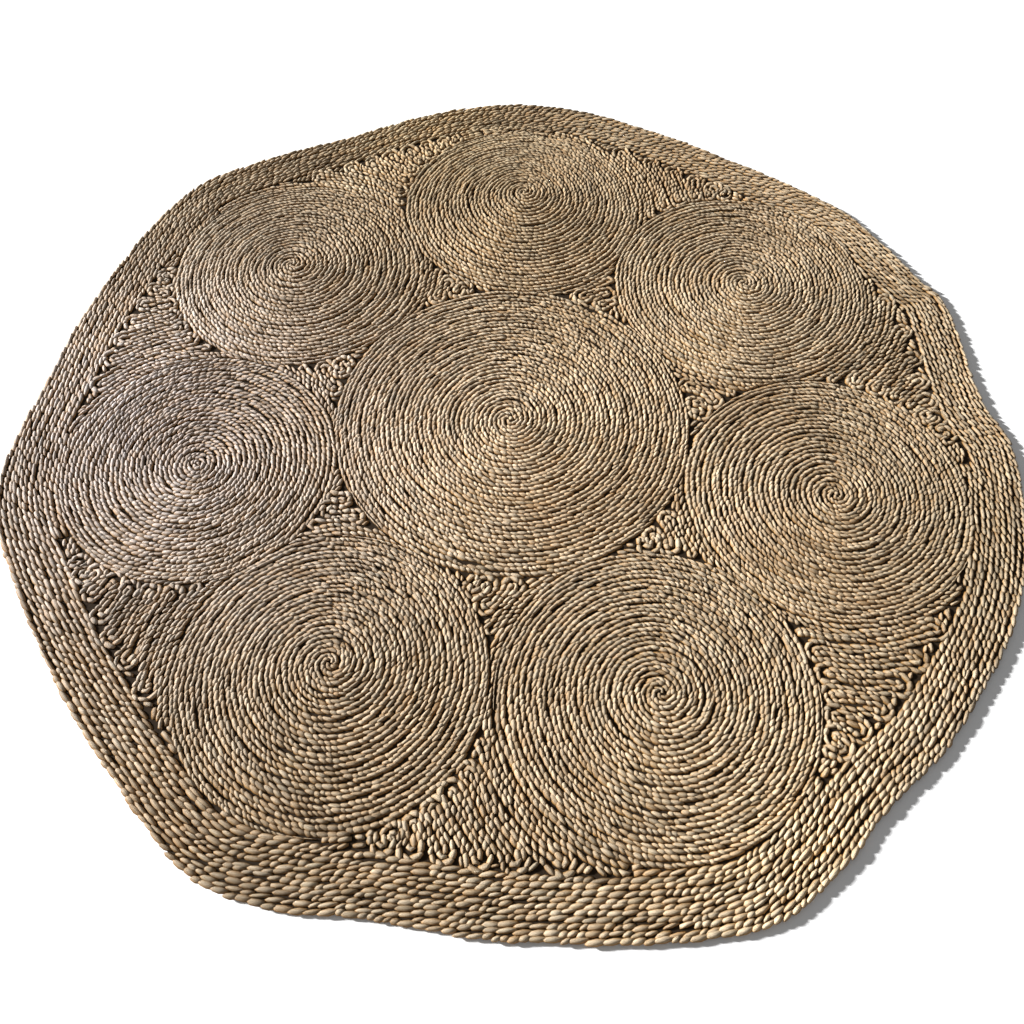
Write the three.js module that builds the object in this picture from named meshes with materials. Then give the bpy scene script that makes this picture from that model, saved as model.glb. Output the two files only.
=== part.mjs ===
// Woven cattail rug: a flat patchwork of plaited cattail, one plait thick.
// The plait stands on its edge and is sewn row to row into coiled medallions, back-and-forth gussets
// that fill the gaps between them, and a border of rows round the whole.
// Units are millimetres, +Z is up and the rug lies on z = 0. The origin is the middle of the centre
// medallion. A bearing is in degrees, counter-clockwise from +X.
import * as THREE from "three";

const THICKNESS = 12; // the plait's height on its edge, which is the rug's thickness
const ROW = 9.6; // the width of one row of plait
const SEAM = 0.3; // the gap between two sewn pieces
const CENTER_RADIUS = 360;
const PRESS = 3; // how far a ring medallion is pressed against the centre one
const BORDER_WIDTH = 10 * ROW;
const FACET = 6; // degrees between the corners of a round outline
const INNER_LINE_STEP = 3; // degrees between the corners of the border's inner line
const RIM_STEPS = 4; // outline points from one row of RIM to the next

// Gussets: two plaits side by side go back and forth, so each end is a loop of four rows.
const LAP_ROWS = 2; // single rows that follow the host medallion before the loops start
const LOOP_ROWS = 4;
const HALF_LOOP_ROWS = 2;
const CAP_FACETS = 5; // facets of the round end of a loop
const LEAN = 0.3; // how far a loop turns from its row's heading to face the wall it meets
const LEAD_LEAN = 0; // the leading loop runs straight on
const BEND_ROWS = 1.3; // distance from the wall, past the loop itself, at which it starts to turn
const TURN_RADIUS = 1.8 * ROW;
const STRIDE = ROW / 4; // step length along a row that is followed to its end
const STRIDES_PER_CORNER = 8; // the outline keeps one stop in this many
const SHORTEST_PASS = 1.5 * ROW;
const LONGEST_TANGLE = 24; // corners in the longest small loop that is cut off an outline
const SHORTEST_EDGE = 0.8;
const HOST_CLEFT = 2 * ROW; // the border fills the cleft beside a medallion up to this width,
const NEIGHBOR_CLEFT = 2.5 * ROW; // and up to this one on the side where the loops end

// The ring medallions, clockwise. Each is sewn to the centre, to its neighbours and to the border.
const RINGS = [
  { bearing: 88.8, radius: 278 },
  { bearing: 37.6, radius: 283 },
  { bearing: -14.8, radius: 279 },
  { bearing: -66.3, radius: 281 },
  { bearing: -118.8, radius: 276 },
  { bearing: -169.0, radius: 268 },
  { bearing: -220.4, radius: 279 },
];

// The outer edge is an uneven, rounded heptagon: its corners, its sides and the dips in them.
const RIM = [
  { bearing: 91, reach: 1026 },
  { bearing: 104, reach: 1003 },
  { bearing: 117, reach: 979 },
  { bearing: 126, reach: 999 },
  { bearing: 139, reach: 1034 },
  { bearing: 163, reach: 979 },
  { bearing: 173, reach: 971 },
  { bearing: 191, reach: 1008 },
  { bearing: 207, reach: 974 },
  { bearing: 227, reach: 973 },
  { bearing: 242, reach: 1013 },
  { bearing: 252, reach: 988 },
  { bearing: 256, reach: 971 },
  { bearing: 270, reach: 972 },
  { bearing: 292, reach: 1027 },
  { bearing: 300, reach: 1015 },
  { bearing: 308, reach: 988 },
  { bearing: 320, reach: 992 },
  { bearing: 339, reach: 1010 },
  { bearing: 357, reach: 1007 },
  { bearing: 364, reach: 978 },
  { bearing: 381, reach: 1022 },
  { bearing: 384, reach: 1010 },
  { bearing: 399, reach: 1009 },
  { bearing: 422, reach: 978 },
  { bearing: 430, reach: 989 },
  { bearing: 440, reach: 1016 },
];

const COLORS = { medallion: 0xa8906a, gusset: 0x9d845c, border: 0xb0966a };
const ROUGHNESS = 0.75;
const METALNESS = 0;

const ORIGIN = new THREE.Vector2(0, 0);

function atBearing(center, degrees, distance) {
  const angle = THREE.MathUtils.degToRad(degrees);
  return new THREE.Vector2(Math.cos(angle), Math.sin(angle)).multiplyScalar(distance).add(center);
}

function bearingOf(from, to) {
  return THREE.MathUtils.radToDeg(Math.atan2(to.y - from.y, to.x - from.x));
}

// The radius for the corners of an outline round a circle that keeps its flat facets outside it.
function radiusRound(radius) {
  return radius / Math.cos(THREE.MathUtils.degToRad(FACET / 2));
}

function nearestOnSegment(point, start, end) {
  const along = end.clone().sub(start);
  const share = point.clone().sub(start).dot(along) / along.lengthSq();
  return start.clone().addScaledVector(along, THREE.MathUtils.clamp(share, 0, 1));
}

function crossingOf(start, end, otherStart, otherEnd) {
  const along = end.clone().sub(start);
  const otherAlong = otherEnd.clone().sub(otherStart);
  const toOther = otherStart.clone().sub(start);
  const turn = along.cross(otherAlong);
  if (turn === 0) return null;
  const share = toOther.cross(otherAlong) / turn;
  const otherShare = toOther.cross(along) / turn;
  if (Math.min(share, otherShare) < 0 || Math.max(share, otherShare) > 1) return null;
  return start.clone().addScaledVector(along, share);
}

// Cuts off the small loops where neighbouring bands of an outline overlap, and its tiny edges.
function untangle(outline) {
  const kept = [...outline];
  for (let i = 0; i < kept.length; i++) {
    for (let ahead = LONGEST_TANGLE; ahead > 1; ahead--) {
      const j = i + ahead;
      if (j > kept.length) continue;
      const next = kept[(j + 1) % kept.length];
      const crossing = crossingOf(kept[i], kept[(i + 1) % kept.length], kept[j % kept.length], next);
      if (!crossing) continue;
      kept.splice(i + 1, ahead, crossing);
      break;
    }
  }
  return kept.filter((point, i) => point.distanceTo(kept[(i + 1) % kept.length]) > SHORTEST_EDGE);
}

// Walls: what a gusset's loops meet. Each gives its clearance from a point and the way towards it.
function circleWall({ center, radius }) {
  return {
    clearance: (point) => point.distanceTo(center) - radius,
    towards: (point) => center.clone().sub(point).normalize(),
  };
}

function outlineWall(outline) {
  const nearest = (point) => {
    let best = outline[0];
    outline.forEach((start, i) => {
      const candidate = nearestOnSegment(point, start, outline[(i + 1) % outline.length]);
      if (candidate.distanceTo(point) < best.distanceTo(point)) best = candidate;
    });
    return best;
  };
  return {
    clearance: (point) => point.distanceTo(nearest(point)),
    towards: (point) => nearest(point).sub(point).normalize(),
  };
}

// Medallions are discs, pressed flat where two of them are sewn together.
function placeMedallions() {
  const middle = { name: "medallion_center", center: ORIGIN, radius: CENTER_RADIUS };
  const ring = RINGS.map(({ bearing, radius }, i) => {
    const distance = CENTER_RADIUS + radius - PRESS;
    return { name: `medallion_${i + 1}`, bearing, radius, center: atBearing(ORIGIN, bearing, distance) };
  });
  return { middle, ring };
}

function medallionOutline(disc, others) {
  const outline = [];
  for (let degrees = 0; degrees < 360; degrees += FACET) {
    let reach = disc.radius;
    for (const other of others) {
      const distance = disc.center.distanceTo(other.center);
      const seamAt = (distance ** 2 + disc.radius ** 2 - other.radius ** 2) / (2 * distance) - SEAM / 2;
      const offAxis = THREE.MathUtils.degToRad(degrees - bearingOf(disc.center, other.center));
      if (Math.cos(offAxis) > 0) reach = Math.min(reach, seamAt / Math.cos(offAxis));
    }
    outline.push(atBearing(disc.center, degrees, reach));
  }
  return outline;
}

// The border: its outer edge, and the line that its last full row would follow on the inside.
function rimOutline() {
  const corners = RIM.map(({ bearing, reach }) => atBearing(ORIGIN, bearing, reach));
  const spline = new THREE.CatmullRomCurve3(
    corners.map(({ x, y }) => new THREE.Vector3(x, y, 0)),
    true,
    "centripetal",
  );
  const points = spline.getPoints(RIM.length * RIM_STEPS).slice(0, -1);
  return points.map(({ x, y }) => new THREE.Vector2(x, y));
}

function insetOutline(outline, inset) {
  return outline.map((point, i) => {
    const next = outline[(i + 1) % outline.length];
    const previous = outline[(i + outline.length - 1) % outline.length];
    const along = next.clone().sub(previous).normalize();
    return new THREE.Vector2(point.x - along.y * inset, point.y + along.x * inset);
  });
}

function reachOfOutline(outline, degrees) {
  const heading = atBearing(ORIGIN, degrees, 1);
  for (let i = 0; i < outline.length; i++) {
    const start = outline[i];
    const end = outline[(i + 1) % outline.length];
    const before = heading.cross(start);
    const after = heading.cross(end);
    if (before * after <= 0 && heading.dot(start) > 0) {
      return start.clone().lerp(end, before / (before - after)).length();
    }
  }
  throw new Error(`no outline at bearing ${degrees}`);
}

function reachOfCircle({ center, radius, bearing }, degrees) {
  const offAxis = THREE.MathUtils.degToRad(degrees - bearing);
  const aside = center.length() * Math.sin(offAxis);
  return center.length() * Math.cos(offAxis) + Math.sqrt((radius + SEAM) ** 2 - aside ** 2);
}

// The bearing, to one side of a ring medallion, where its cleft with the border is the given width.
function cleftBearing(disc, fullRows, side, width) {
  let near = 0;
  let far = THREE.MathUtils.radToDeg(Math.asin(disc.radius / disc.center.length()));
  while (far - near > 0.01) {
    const middle = (near + far) / 2;
    const degrees = disc.bearing + side * middle;
    const cleft = reachOfOutline(fullRows, degrees) - reachOfCircle(disc, degrees);
    if (cleft < width) near = middle;
    else far = middle;
  }
  return disc.bearing + side * near;
}

// The border's inner edge runs round the outside of each ring medallion and, between two of them,
// along its last full row. It is listed clockwise.
function borderInnerOutline(ring, fullRows) {
  const outline = [];
  const corners = ring.map((disc) => ({
    disc,
    start: cleftBearing(disc, fullRows, 1, NEIGHBOR_CLEFT),
    end: cleftBearing(disc, fullRows, -1, HOST_CLEFT),
  }));
  corners.forEach(({ disc, start, end }, i) => {
    const arcStart = bearingOf(disc.center, atBearing(ORIGIN, start, reachOfCircle(disc, start)));
    const arcEnd = bearingOf(disc.center, atBearing(ORIGIN, end, reachOfCircle(disc, end)));
    const sweep = THREE.MathUtils.euclideanModulo(arcStart - arcEnd, 360);
    const facets = Math.ceil(sweep / FACET);
    const reach = radiusRound(disc.radius + SEAM);
    for (let k = 0; k <= facets; k++) {
      outline.push(atBearing(disc.center, arcStart - (sweep * k) / facets, reach));
    }
    const nextStart = corners[(i + 1) % corners.length].start;
    const gap = THREE.MathUtils.euclideanModulo(end - nextStart, 360);
    const spans = Math.ceil(gap / INNER_LINE_STEP);
    for (let k = 0; k <= spans; k++) {
      const degrees = end - (gap * k) / spans;
      outline.push(atBearing(ORIGIN, degrees, reachOfOutline(fullRows, degrees)));
    }
  });
  return outline;
}

// A gusset's rows are arcs about its host medallion, a seam away with a seam's width more for flat
// facets. Their place along the arc is an angle from the neighbour, growing towards the wall that
// the gusset's other end meets.
function gussetFrame(host, neighbor, wall, sense) {
  const start = bearingOf(host.center, neighbor.center);
  const neighborWall = circleWall(neighbor);
  return {
    radiusAt: (rows) => host.radius + 2 * SEAM + rows * ROW,
    pointAt: (radius, along) => atBearing(host.center, start + sense * along, radius),
    headingAt: (along, end) => {
      const turned = start + sense * along + 90 * sense * end;
      return atBearing(ORIGIN, turned, 1);
    },
    towardsEnd: (point, end) => (end > 0 ? wall : neighborWall).towards(point),
    clearance: (point) => Math.min(wall.clearance(point), neighborWall.clearance(point)),
  };
}

// The first stretch of a row, from the neighbour on, that stays clear of both walls.
function openSpan(frame, radius, clear) {
  const step = THREE.MathUtils.radToDeg(STRIDE / radius);
  let from = null;
  for (let along = 0; along < 150; along += step) {
    const open = frame.clearance(frame.pointAt(radius, along)) > clear;
    if (open && from === null) from = along;
    if (!open && from !== null) return { from, to: along - step };
  }
  return null;
}

// Follows a band of rows to one end: along its arc, then turning to face the wall that it meets.
function followBand(frame, band, end) {
  const half = (band.count / 2) * ROW;
  const radius = frame.radiusAt(band.first + band.count / 2);
  const clear = half + SEAM;
  const span = openSpan(frame, radius, clear);
  if (span === null) return null;
  const step = THREE.MathUtils.radToDeg(STRIDE / radius);
  const turnAt = band.count > 1 ? clear + BEND_ROWS * ROW : clear;
  let along = (span.from + span.to) / 2;
  while (frame.clearance(frame.pointAt(radius, along + end * step)) > turnAt) along += end * step;
  const path = [{ point: frame.pointAt(radius, along), heading: frame.headingAt(along, end) }];
  let { point, heading } = path[0];
  const swing = (way) => Math.atan2(heading.cross(way), heading.dot(way));
  const leanLeft = (1 - band.lean) * Math.abs(swing(frame.towardsEnd(point, end)));
  let room = frame.clearance(point) - clear;
  while (room > SEAM) {
    const stride = Math.min(STRIDE, room);
    const away = swing(frame.towardsEnd(point, end));
    if (Math.abs(away) > leanLeft) {
      heading = heading.clone().rotateAround(ORIGIN, (Math.sign(away) * stride) / TURN_RADIUS);
    }
    point = point.clone().addScaledVector(heading, stride);
    path.push({ point, heading });
    room = frame.clearance(point) - clear;
  }
  return { along, half, path };
}

// The outline of a band's end, from its side nearer the host, round its cap, to its outer side.
function bandOutline({ half, path }, host) {
  const { point: root, heading } = path[0];
  const outward = root.clone().sub(host.center).normalize();
  const side = Math.sign(heading.cross(outward));
  const offset = ({ point, heading }, distance) =>
    new THREE.Vector2(point.x - heading.y * distance, point.y + heading.x * distance);
  const kept = path.filter((_, i) => i % STRIDES_PER_CORNER === 0 && i < path.length - 2);
  const tip = path[path.length - 1];
  const near = kept.map((stop) => offset(stop, -side * half));
  const far = kept.map((stop) => offset(stop, side * half)).reverse();
  const cap = [];
  for (let k = 0; k <= CAP_FACETS; k++) {
    const turn = side * Math.PI * (k / CAP_FACETS - 0.5);
    cap.push(tip.heading.clone().rotateAround(ORIGIN, turn).multiplyScalar(half).add(tip.point));
  }
  return [...near, ...cap, ...far];
}

// Bands of rows that end together: single laps, a leading band, then loops.
function bands(leadRows, totalRows) {
  const list = [];
  for (let row = 0; row < LAP_ROWS; row++) list.push({ first: row, count: 1, lean: LEAD_LEAN });
  let next = { count: leadRows, lean: LEAD_LEAN };
  for (let first = LAP_ROWS; first < totalRows; first += list[list.length - 1].count) {
    list.push({ ...next, first, count: Math.min(next.count, totalRows - first) });
    next = { count: LOOP_ROWS, lean: LEAN };
  }
  return list;
}

function rowsThatFit(frame) {
  let rows = LAP_ROWS;
  for (;;) {
    const radius = frame.radiusAt(rows + HALF_LOOP_ROWS / 2);
    const span = openSpan(frame, radius, (HALF_LOOP_ROWS / 2) * ROW + SEAM);
    const length = span === null ? 0 : THREE.MathUtils.degToRad(span.to - span.from) * radius;
    if (length < SHORTEST_PASS) return rows;
    rows += HALF_LOOP_ROWS;
  }
}

// Joins the ends of successive bands with arcs at the radius that they share.
function arcBetween(frame, radius, from, to) {
  const facets = Math.ceil(Math.abs(to - from) / FACET);
  const points = [];
  for (let k = 1; k < facets; k++) {
    points.push(frame.pointAt(radiusRound(radius), from + ((to - from) * k) / facets));
  }
  return points;
}

function followBands(frame, totalRows) {
  const follow = (leadRows, end) =>
    bands(leadRows, totalRows).map((band) => ({ ...band, ...followBand(frame, band, end) }));
  return { wallEnds: follow(LOOP_ROWS, 1), neighborEnds: follow(HALF_LOOP_ROWS, -1) };
}

function gussetOutline(host, neighbor, wall, sense) {
  const frame = gussetFrame(host, neighbor, wall, sense);
  let total = rowsThatFit(frame);
  let { wallEnds, neighborEnds } = followBands(frame, total);
  while (![...wallEnds, ...neighborEnds].every(({ path }) => path)) {
    total -= HALF_LOOP_ROWS;
    ({ wallEnds, neighborEnds } = followBands(frame, total));
  }
  const outline = [];
  outline.push(...arcBetween(frame, frame.radiusAt(0), neighborEnds[0].along, wallEnds[0].along));
  wallEnds.forEach((band, i) => {
    outline.push(...bandOutline(band, host));
    const next = wallEnds[i + 1] ?? neighborEnds[neighborEnds.length - 1];
    outline.push(...arcBetween(frame, frame.radiusAt(band.first + band.count), band.along, next.along));
  });
  for (let i = neighborEnds.length - 1; i >= 0; i--) {
    outline.push(...bandOutline(neighborEnds[i], host).reverse());
    if (i > 0) {
      const radius = frame.radiusAt(neighborEnds[i].first);
      outline.push(...arcBetween(frame, radius, neighborEnds[i].along, neighborEnds[i - 1].along));
    }
  }
  return untangle(outline);
}

function slab(name, color, outline, hole) {
  const shape = new THREE.Shape(outline);
  if (hole) shape.holes.push(new THREE.Path(hole));
  const geometry = new THREE.ExtrudeGeometry(shape, { depth: THICKNESS, bevelEnabled: false });
  const material = new THREE.MeshStandardMaterial({ color, roughness: ROUGHNESS, metalness: METALNESS });
  const mesh = new THREE.Mesh(geometry, material);
  mesh.name = name;
  return mesh;
}

function buildRug() {
  const rug = new THREE.Group();
  const { middle, ring } = placeMedallions();
  const discs = [middle, ...ring];
  for (const disc of discs) {
    const others = discs.filter((other) => other !== disc);
    rug.add(slab(disc.name, COLORS.medallion, medallionOutline(disc, others)));
  }
  const rim = rimOutline();
  const inner = borderInnerOutline(ring, insetOutline(rim, BORDER_WIDTH));
  rug.add(slab("border", COLORS.border, rim, inner));
  const borderWall = outlineWall(inner);
  const centerWall = circleWall(middle);
  ring.forEach((host, i) => {
    const neighbor = ring[(i + 1) % ring.length];
    const outer = gussetOutline(host, neighbor, borderWall, 1);
    rug.add(slab(`gusset_outer_${i + 1}`, COLORS.gusset, outer));
    const inward = gussetOutline(host, neighbor, centerWall, -1);
    rug.add(slab(`gusset_inner_${i + 1}`, COLORS.gusset, inward));
  });
  return rug;
}

export default buildRug();
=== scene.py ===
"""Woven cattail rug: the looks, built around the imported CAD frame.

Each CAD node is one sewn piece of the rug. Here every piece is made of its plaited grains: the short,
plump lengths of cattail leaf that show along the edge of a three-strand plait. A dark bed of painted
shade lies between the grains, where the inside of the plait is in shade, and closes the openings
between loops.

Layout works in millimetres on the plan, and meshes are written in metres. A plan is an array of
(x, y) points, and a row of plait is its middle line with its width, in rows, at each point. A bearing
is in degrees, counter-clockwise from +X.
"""
import math

import bpy
import numpy as np
from mathutils import Matrix
from mathutils.kdtree import KDTree


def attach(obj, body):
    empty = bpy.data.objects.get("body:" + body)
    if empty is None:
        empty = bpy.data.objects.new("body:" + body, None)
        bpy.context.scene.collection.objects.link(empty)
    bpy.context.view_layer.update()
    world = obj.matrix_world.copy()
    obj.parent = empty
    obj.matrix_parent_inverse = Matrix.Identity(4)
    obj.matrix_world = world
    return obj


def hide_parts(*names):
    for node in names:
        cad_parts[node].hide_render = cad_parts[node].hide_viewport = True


MM = 0.001
SEED = 20

# The driving sizes, as in the CAD part.
THICKNESS = 12.0
ROW = 9.6  # the width of one row of plait
SEAM = 0.3
CENTER_RADIUS = 360.0
PRESS = 3.0  # how far a ring medallion is pressed against the centre one

# The border's rows. They turn round a corner of the rim, and even out in width, over a number of
# points to each side.
BORDER_ROWS = 10
CORNER_REACH = 40
WIDTH_REACH = 20
CLEFT_ROWS = 5  # more rows, which only fill the clefts beside the medallions
SHORTEST_CLEFT = 6  # a cleft's row has more points than this

# Gussets: two plaits side by side go back and forth, so each end is a loop of four rows.
LAP_ROWS = 2  # single rows that follow the host medallion before the loops start
LOOP_ROWS = 4
HALF_LOOP_ROWS = 2
LEAN = 0.3  # how far a loop turns from its row's heading to face the wall it meets
LEAD_LEAN = 0  # the leading loop runs straight on
BEND_ROWS = 1.3  # distance from the wall, past the loop itself, at which it starts to turn
TURN_RADIUS = 1.8 * ROW
STRIDE = ROW / 4  # step length along a row that is followed to its end
SHORTEST_PASS = 1.5 * ROW
WIDEST_SWEEP = 150  # degrees about the host medallion that are searched for a row
CLEFT_STRIDES = 90  # strides past the end of a single row that are searched for its tip
WALL_REACH = 2.2  # from the host's middle to the farthest part of the border it meets, in host radii

# The ring medallions, clockwise. The eye is where the coil starts, from the middle of the disc.
# The lay is the side that a grain leans to as its row goes on: 1 is left, -1 is right.
RINGS = [
    {"bearing": 88.8, "radius": 278, "eye": (8, 56), "lay": -1},
    {"bearing": 37.6, "radius": 283, "eye": (12, 5), "lay": -1},
    {"bearing": -14.8, "radius": 279, "eye": (15, -6), "lay": -1},
    {"bearing": -66.3, "radius": 281, "eye": (7, 6), "lay": -1},
    {"bearing": -118.8, "radius": 276, "eye": (-4, 21), "lay": -1},
    {"bearing": -169.0, "radius": 268, "eye": (-5, -5), "lay": 1},
    {"bearing": -220.4, "radius": 279, "eye": (-22, 18), "lay": -1},
]
CENTER_EYE = (-5, 0)
CENTER_LAY = -1
GUSSET_LAY = -1
BORDER_LAY = 1

# Fillers: short rows in the wider openings of a gusset.
FILLER_STEP = 0.5  # between the places tried, in rows
FILLER_ROOM = 0.8  # to the next row's middle, in rows
FILLER_WALL_ROOM = 0.36  # from a filler's middle to a wall, in rows
FILLER_TUCK = 0.7  # how much less than the room between its neighbours' middles it takes, in rows
THINNEST_FILLER = 0.4
FILLER_REACH = 6  # from a filler to the nearest row that is laid, at most, in rows
SHORTEST_FILLER = 13.0

# Coils: two plaits side by side wind out from the eye.
ARMS = 2
FIRST_TURN = 0.4  # rows from the eye to the middle of the first turn
RIM_POWER = 6  # how late the turns take on the rim's shape, as a power of their share of the radius
THINNEST_TIP = 0.15  # where a row that narrows ends, in rows
# The last turn starts to thin where this share of a row is left for it, and ends at the other.
TAIL_START = 0.5
TAIL_END = 0.3
TAIL_WIDTH = 0.85  # it is at least this wide until then, in rows
SHARING_ROWS = 3  # rows inside the last turn that share its room
DEGREE_STEP = 1.0  # between a coil's points

# Loops: an inner loop stops short of the outer one by this share of a row for each row outside it.
LOOP_GAP = 0.35
LOOP_FLARE = 0.22  # how much wider a loop is at its end
FLARE_STOPS = 16  # stops over which it widens
LOOP_SHIFT = 0.6  # how much of their shift the grains keep there
CAP_POINTS = 12  # round a loop's end
CAP_SQUARENESS = 2.5  # 2 would be a half circle

# Grains: a grain is a closed body, bent along its row and leaning across it. Its stations are its
# cross-sections, from one end at -1 to the other at 1.
STATIONS = np.array([-1.0, -0.68, 0.0, 0.68, 1.0])
LOOP_STATIONS = np.array([-1.0, -0.78, -0.3, 0.3, 0.78, 1.0])
# The period is from one grain to the next, in millimetres, and the length is a grain's, in periods.
# Its width, and its shift, which is how far its ends lie off its row's middle, are in rows.
PLAITS = {
    "medallion": {"period": 12.8, "length": 1.74, "width": 1.11, "shift": 0.34, "stations": STATIONS},
    "gusset": {"period": 14.5, "length": 1.42, "width": 1.10, "shift": 0.42, "stations": LOOP_STATIONS},
    "border": {"period": 18.5, "length": 1.48, "width": 1.16, "shift": 0.33, "stations": STATIONS},
}
# Each grain differs by chance, between these limits. The sink is in millimetres, the rest are shares.
STEP_RANGE = (0.6, 1.4)  # from one grain to the next
SHIFT_RANGE = (0.5, 1.35)
WIDTH_RANGE = (0.74, 1.2)
SINK_RANGE = (0, 1.2)
# A cross-section, as shares of half the width and half the height: round above, a keel below.
SECTION = np.array([(0, 1), (-0.6, 0.76), (-1, 0), (0, -1), (1, 0), (0.6, 0.76)])
# How bluntly a grain narrows and lowers towards its ends: the powers of a rounded outline.
BREADTH_POWERS = (2.2, 0.6)
HEIGHT_POWERS = (2.8, 0.6)
ROW_EDGE = 0.6  # grains stop this far from their row's middle, in rows
ROW_ROUNDING = 0.97  # 0 is a row as high at its edges as in its middle, 1 is a half circle
BANK = 0.8  # how much higher a grain's left side lies than its middle
SHINGLE = 1.3  # how much higher its first end lies
SINK = 0.9  # how much a row's top rises and falls
SWELL = 0.1  # how much a row swells and thins, as a share of its width
WOBBLE = 0.11  # how far it strays to each side, in rows
GRAIN_WOBBLE = 0.17  # and how far a grain does
DRIFT_GRAINS = 3  # grains over which a row's drift turns
SAMPLE_STEP = 2.0  # between points along a row
CELL_INSET = 0.06  # left empty at each edge of a grain's cell of the bake map, as a share of the cell
GRAIN_SEEDS = 100  # each grain's texture is cut from its own place, up to this far off

BED_INSET = 5.0  # from the rim
BED_BOTTOM = 2.5
BED_TOP = 6.0
BED_RINGS = 4
BED_STEP = 5  # the bed's edge keeps one rim point in this many


# ---------------------------------------------------------------- plan geometry

# How exactly the CAD's corners are read, in millimetres.
DECIMALS = 2
TOLERANCE = 0.01
SMALLEST_STEP = 0.001  # points closer than this count as one


def heading(degrees):
    angle = np.radians(degrees)
    return np.stack([np.cos(angle), np.sin(angle)], axis=-1)


def bearing_of(start, end):
    return math.degrees(math.atan2(end[1] - start[1], end[0] - start[0]))


def left_of(vectors):
    return np.stack([-vectors[..., 1], vectors[..., 0]], axis=-1)


def unit(vectors):
    return vectors / np.linalg.norm(vectors, axis=-1, keepdims=True)


def cross(first, second):
    return float(first[0] * second[1] - first[1] * second[0])


def rotate(vector, angle):
    turned = math.cos(angle), math.sin(angle)
    return np.array([turned[0] * vector[0] - turned[1] * vector[1],
                     turned[1] * vector[0] + turned[0] * vector[1]])


def top_outlines(node):
    """The closed outlines of a CAD slab's top face: the outer one first, then any hole's."""
    points = np.array([vertex.co for vertex in node.data.vertices]) / MM
    corners, labels = np.unique(np.round(points, DECIMALS), axis=0, return_inverse=True)
    labels = labels.reshape(-1)
    top = corners[:, 2].max()
    edges = set()
    for polygon in node.data.polygons:
        face = [int(labels[vertex]) for vertex in polygon.vertices]
        if all(corners[corner][2] > top - TOLERANCE for corner in face):
            edges.update(zip(face, face[1:] + face[:1]))
    following = {start: end for start, end in sorted(edges) if (end, start) not in edges}
    outlines = []
    while following:
        start, end = following.popitem()
        loop = [start]
        while end != start:
            loop.append(end)
            end = following.pop(end)
        outlines.append(corners[loop][:, :2])
    return sorted(outlines, key=lambda outline: -np.ptp(outline[:, 0]))


def smooth_closed(corners, step):
    """A closed Catmull-Rom curve through the corners, with points about a step apart."""
    spans = []
    for i, start in enumerate(corners):
        before = corners[i - 1]
        end = corners[(i + 1) % len(corners)]
        after = corners[(i + 2) % len(corners)]
        count = max(1, round(float(np.linalg.norm(end - start)) / step))
        t = (np.arange(count) / count)[:, None]
        bend = (2 * before - 5 * start + 4 * end - after) * t**2
        twist = (3 * start - before - 3 * end + after) * t**3
        spans.append(0.5 * (2 * start + (end - before) * t + bend + twist))
    return np.concatenate(spans)


def closed(outline):
    return np.vstack([outline, outline[:1]])


def reach_at(outline, center, degrees):
    """How far an outline lies from a centre that sees all of it, at each bearing."""
    offset = outline - center
    bearings = np.degrees(np.arctan2(offset[:, 1], offset[:, 0]))
    return np.interp(degrees, bearings, np.linalg.norm(offset, axis=1), period=360)


def lengths_along(path):
    return np.concatenate([[0], np.cumsum(np.linalg.norm(np.diff(path, axis=0), axis=1))])


def points_along(path, lengths, at):
    return np.stack([np.interp(at, lengths, path[:, axis]) for axis in (0, 1)], axis=-1)


def as_row(path, width):
    """A row with points evenly spaced along the path. The width is one number or one a point."""
    gaps = np.linalg.norm(np.diff(path, axis=0), axis=1)
    kept = np.append(True, gaps > SMALLEST_STEP)
    width = np.broadcast_to(width, len(path))[kept]
    lengths = lengths_along(path[kept])
    at = np.linspace(0, lengths[-1], max(2, int(lengths[-1] / SAMPLE_STEP) + 1))
    return points_along(path[kept], lengths, at), np.interp(at, lengths, width)


def inside(outline, points):
    """Which of the points lie inside a closed outline."""
    x, y = points[:, 0:1], points[:, 1:2]
    ends = np.roll(outline, -1, axis=0)
    spans = (outline[:, 1] > y) != (ends[:, 1] > y)
    rise = np.where(ends[:, 1] == outline[:, 1], 1, ends[:, 1] - outline[:, 1])
    crossing = outline[:, 0] + (ends[:, 0] - outline[:, 0]) / rise * (y - outline[:, 1])
    return (spans & (x < crossing)).sum(axis=1) % 2 == 1


def runs_of(flags):
    """The numbers of each unbroken run of true flags."""
    found = np.flatnonzero(flags)
    return np.split(found, np.flatnonzero(np.diff(found) > 1) + 1) if len(found) else []


def smooth_round(values, reach):
    """A closed list of values, each averaged with its neighbours on both sides."""
    window = np.hanning(2 * reach + 1)
    around = np.convolve(np.tile(values, 3), window / window.sum(), "same")
    return around[len(values):2 * len(values)]


# ---------------------------------------------------------------- medallions and border

def rim_depth(depth):
    """Where the edge of a row lies in from the rim, once the coil's last turn has thinned away.

    The last turn thins from a full row to nothing over a short stretch, and the few rows inside it
    share the room. Depths are in rows.
    """
    whole, left = np.divmod(np.maximum(depth, 0), 1)
    tail = np.clip((left - TAIL_END) / (TAIL_START - TAIL_END), 0, 1)
    last = tail * np.maximum(left, TAIL_WIDTH)
    shared = last + whole * (SHARING_ROWS + left - last) / SHARING_ROWS
    return np.where(whole < SHARING_ROWS, shared, depth)


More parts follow.
